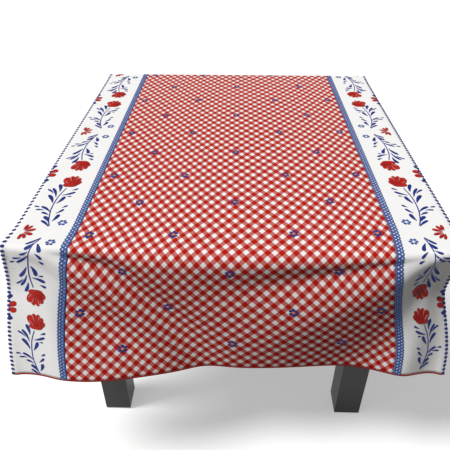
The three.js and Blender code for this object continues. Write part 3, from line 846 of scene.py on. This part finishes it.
class BorderWork:
    """The flowers along one border."""

    def __init__(self, side, work):
        self.side = side
        self.work = work

    def place(self, points, row, way):
        """Flat places of points that are given in from the edge and along from a row."""
        points = np.array(points, float)
        along = points[:, 1] * way + row
        return np.stack([self.side * (CLOTH_X - PLACES_IN - points[:, 0]), along], axis=1)

    def sprig(self, row, way):
        """The tulip, its stem and leaves, from a heart row towards a fan row."""
        line = curve_through(STEM, STEM_STEP)
        self.work.patch("stems", self.place(ribbon(line, np.full(len(line), STEM_WIDTH)), row, way))
        for base, tip, width in LEAVES:
            self.work.patch("leaves", self.place(brush_leaf(base, tip, width), row, way))
        for base, tip, width, layer in TULIP_PETALS:
            self.red_petal(self.in_tulip(base), self.in_tulip(tip), width * MM, row, way, layer)
        for name, marks in (("petal_gaps", TULIP_SLITS), ("petal_lines", TULIP_LINES)):
            for base, tip, width in marks:
                mark = brush_leaf(self.in_tulip(base), self.in_tulip(tip), width * MM, MARK_BOW)
                self.work.patch(name, self.place(mark, row, way), MARK_LAYER * PETAL_STEP)

    def in_tulip(self, place):
        """Where a place given from the tulip's middle is, in from the edge and along from the row."""
        return np.array(TULIP_AT) + np.array(place) * TULIP_SIZE

    def red_petal(self, base, tip, width, row, way, layer=0, stretch=1.0):
        """A petal in red, over a slightly larger one in dark thread that shows as a line round it."""
        base, tip = np.array(base, float), np.array(tip, float)
        past = (tip - base) / np.linalg.norm(tip - base) * PETAL_LINE / 2
        lift = layer * PETAL_STEP
        rim = petal(base - past, tip + past, width + PETAL_LINE)
        body = petal(base, tip, width)
        along = np.array((1, stretch))
        self.work.patch("petal_lines", self.place(rim * along, row, way), lift - LINE_DROP)
        self.work.patch("tulips", self.place(body * along, row, way), lift)

    def half_flower(self, row):
        """The heart-like half flower at the edge, with a leaf on each side."""
        for way in (-1, 1):
            self.red_petal(*HALF_PETAL, row, way, 1 + way)
            self.work.patch("leaves", self.place(brush_leaf(*HALF_LEAF), row, way))

    def fan(self, row):
        """The red fan, and the small flowers on each side of its row."""
        hub = np.array((FAN_BASE, 0))
        for angle in np.radians(np.linspace(-FAN_OPEN, FAN_OPEN, FAN_PETALS)):
            toward = np.array((math.cos(angle), math.sin(angle)))
            tip = hub + (FAN_SHORT + FAN_LONGER * math.cos(angle) ** 3) * MM * toward
            self.red_petal(hub + FAN_HOLLOW * toward, tip, FAN_PETAL_WIDTH, row, 1, 0, FAN_STRETCH)
        for way in (-1, 1):
            self.small_flower(self.place([SMALL_FLOWER_AT], row, way)[0])

    def small_flower(self, middle):
        """Six blue petals round a place."""
        near, far, width = SMALL_PETAL
        for angle in np.radians(range(0, 360, 60)):
            toward = np.array([math.cos(angle), math.sin(angle)])
            outline = petal(middle + toward * near, middle + toward * far, width, SMALL_POINTS)
            self.work.patch("small_flowers", outline)


BORDER_THREADS = ("stems", "leaves", "petal_lines", "petal_gaps", "tulips", "small_flowers")
SPRIG_REACH = 0.3                                   # a sprig ends this far from its heart row


def border_work(name, side, threads):
    """All the flowers of one border, in rows from hem to hem."""
    work = Needlework({n: threads[n] for n in BORDER_THREADS})
    border = BorderWork(side, work)
    for k in range(-4, 5):
        fan = FIRST_ROW + BORDER_ROW[side] + ROW_PITCH * 4 * k
        heart = fan + ROW_PITCH * 2
        if abs(heart) < WORK_END:
            border.half_flower(heart)
        if abs(fan) < WORK_END:
            border.fan(fan)
        for way in (-1, 1):
            if abs(heart) < WORK_END + SPRIG_REACH:
                border.sprig(heart, way)
    work.finish(name)


CHECK_THREADS = ("check_flowers", "flower_hearts")
ROW_OF_FOUR = (-0.345, -0.144, 0.144, 0.345)        # where the flowers stand across the gingham
ROW_OF_THREE = (-0.25, 0, 0.25)
CHECK_PETAL = (2 * MM, 12 * MM, 8.6 * MM)           # from and to, out from the middle; and width
CHECK_FLOWER_STRETCH = 1.25                         # these flowers are longer along the cloth
HEART_SIZE = 3.9 * MM
HEART_LIFT = 0.35 * MM
ROUND = np.radians(range(0, 360, 45))               # points round a flower's heart


def gingham_flowers(threads):
    """Small six-petalled flowers in staggered rows over the gingham."""
    work = Needlework({n: threads[n] for n in CHECK_THREADS})
    near, far, width = CHECK_PETAL
    for k in range(-4, 12):
        row = FIRST_ROW + ROW_PITCH * k
        if abs(row) > WORK_END:
            continue
        for u in ROW_OF_FOUR if k % 2 == 0 else ROW_OF_THREE:
            middle = np.array([u, row + ROW_SLANT * u])
            for angle in np.radians(range(30, 390, 60)):
                toward = np.array([math.cos(angle), CHECK_FLOWER_STRETCH * math.sin(angle)])
                outline = petal(middle + toward * near, middle + toward * far, width, SMALL_POINTS)
                work.patch("check_flowers", outline)
            ring = np.stack([np.cos(ROUND), CHECK_FLOWER_STRETCH * np.sin(ROUND)], axis=1)
            work.patch("flower_hearts", middle + ring * HEART_SIZE, HEART_LIFT)
    work.finish("middle")


def make_cloth():
    """Every piece of the cloth, with its finish."""
    white = cotton("white_border_cotton", WHITE_COTTON)
    lace = lace_cotton()
    picots = thread("blue_picot_thread", FLOWER_BLUE)
    binding = cotton("red_binding_cotton", BINDING_RED)
    threads = {
        "stems": Thread(thread("stem_blue_thread", STEM_BLUE), "blue_thread", 0.35 * MM),
        "leaves": Thread(thread("leaf_blue_thread", LEAF_BLUE), "blue_thread", 0.5 * MM),
        "tulips": Thread(thread("flower_red_thread", MOTIF_RED), "red_binding", 0.5 * MM),
        "petal_lines": Thread(thread("dark_red_thread", PETAL_DARK), "red_binding", 0.5 * MM),
        "petal_gaps": Thread(thread("pale_red_thread", PETAL_PALE), "red_binding", 0.5 * MM),
        "small_flowers": Thread(thread("small_flower_thread", SMALL_BLUE), "blue_thread", 0.45 * MM),
        "check_flowers": Thread(thread("dark_blue_thread", FLOWER_BLUE), "blue_thread", 0.5 * MM),
        "flower_hearts": Thread(thread("orange_thread", ORANGE), "red_binding", 0.6 * MM),
    }
    bindings = [hem_binding("front", -1, binding), hem_binding("back", 1, binding)]
    gingham_panel(gingham())
    for name, side in SIDES:
        border_panel(name, side, white)
        lace_band(name, side, lace)
        picot_edging(name, side, picots)
        border_work(name, side, threads)
    gingham_flowers(threads)


# ---- the table's finishes -------------------------------------------------------------------------------
def finish_table():
    """Gives each part of the table its finish, by how its name starts."""
    finishes = (
        (lacquered_wood(), ("table_top", "leg_")),
        (stained_wood(), ("side_apron_", "end_apron_", "centre_rail")),
        (zinc(), ("corner_bracket_", "hanger_bolt_", "bolt_", "bracket_screw_", "top_clip_",
                  "clip_screw_")),
        (glide_plastic(), ("foot_glide_",)),
    )
    for material, starts in finishes:
        for name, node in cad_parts.items():
            if name.startswith(starts):
                node.data.materials.clear()
                node.data.materials.append(material)


# ---- studio ---------------------------------------------------------------------------------------------
FLOOR_HALF = 14                                     # half the floor's width
FLOOR_WHITE = (0.66, 0.66, 0.655, 1)
FLOOR_GLOW = 0.4                                    # it lights itself, so that it stays white
SKY_LIGHT = 0.16
KEY_LIGHT = 3.25
KEY_FROM, KEY_TO = (-1.8, -0.62, 4.1), (0, 0, 0.7)
KEY_SOFTNESS = math.radians(20)
SIDE_LIGHT = 1.6                                    # a small lamp by the near left corner
SIDE_FROM, SIDE_TO = (-1.05, -1.35, 0.8), (-0.5, -0.65, 0.6)
SIDE_LAMP_WIDTH = 0.5
CAMERA_AT = (0.002, -1.503, 1.466)
CAMERA_DOWN = math.radians(90 - 35.5)               # it looks 35.5 degrees down
CAMERA_TURN = math.radians(1.44)                    # and a little to the left
CAMERA_LENS, CAMERA_FILM = 40, 36                   # millimetres


def make_floor():
    bm = bmesh.new()
    bmesh.ops.create_grid(bm, x_segments=2, y_segments=2, size=FLOOR_HALF)
    mesh = bpy.data.meshes.new("studio_floor")
    bm.to_mesh(mesh)
    bm.free()
    finish = Finish("pale_floor", roughness=0.9, specular=0.1)
    finish.shader.inputs["Base Color"].default_value = FLOOR_WHITE
    finish.shader.inputs["Emission Color"].default_value = (1, 1, 1, 1)
    finish.shader.inputs["Emission Strength"].default_value = FLOOR_GLOW
    mesh.materials.append(finish.material)
    floor = bpy.data.objects.new("studio_floor", mesh)
    bpy.context.scene.collection.objects.link(floor)
    floor.visible_diffuse = False                   # the floor throws no light up at the cloth


def aim(lamp, place, target):
    """Stands a lamp at a place and points it at another."""
    toward = np.array(target) - np.array(place)
    across = math.hypot(toward[0], toward[1])
    lamp.location = place
    heading = math.atan2(toward[1], toward[0]) - math.pi / 2
    lamp.rotation_euler = (math.atan2(across, -toward[2]), 0, heading)
    bpy.context.scene.collection.objects.link(lamp)


def make_light():
    world = bpy.data.worlds.new("studio")
    bpy.context.scene.world = world
    world.use_nodes = True
    sky = world.node_tree.nodes["Background"]
    sky.inputs["Color"].default_value = (1, 1, 1, 1)
    sky.inputs["Strength"].default_value = SKY_LIGHT
    key = bpy.data.lights.new("key_light", "SUN")
    key.energy = KEY_LIGHT
    key.angle = KEY_SOFTNESS
    aim(bpy.data.objects.new("key_light", key), KEY_FROM, KEY_TO)
    side = bpy.data.lights.new("left_light", "AREA")
    side.shape = "DISK"
    side.size = SIDE_LAMP_WIDTH
    side.energy = SIDE_LIGHT
    aim(bpy.data.objects.new("left_light", side), SIDE_FROM, SIDE_TO)
    bpy.context.scene.view_settings.view_transform = "Standard"


def make_camera():
    camera = bpy.data.cameras.new("camera")
    camera.lens = CAMERA_LENS
    camera.sensor_width = CAMERA_FILM
    holder = bpy.data.objects.new("camera", camera)
    holder.location = CAMERA_AT
    holder.rotation_euler = (CAMERA_DOWN, 0, CAMERA_TURN)
    bpy.context.scene.collection.objects.link(holder)
    bpy.context.scene.camera = holder


make_camera()
make_light()
make_floor()
finish_table()
make_cloth()
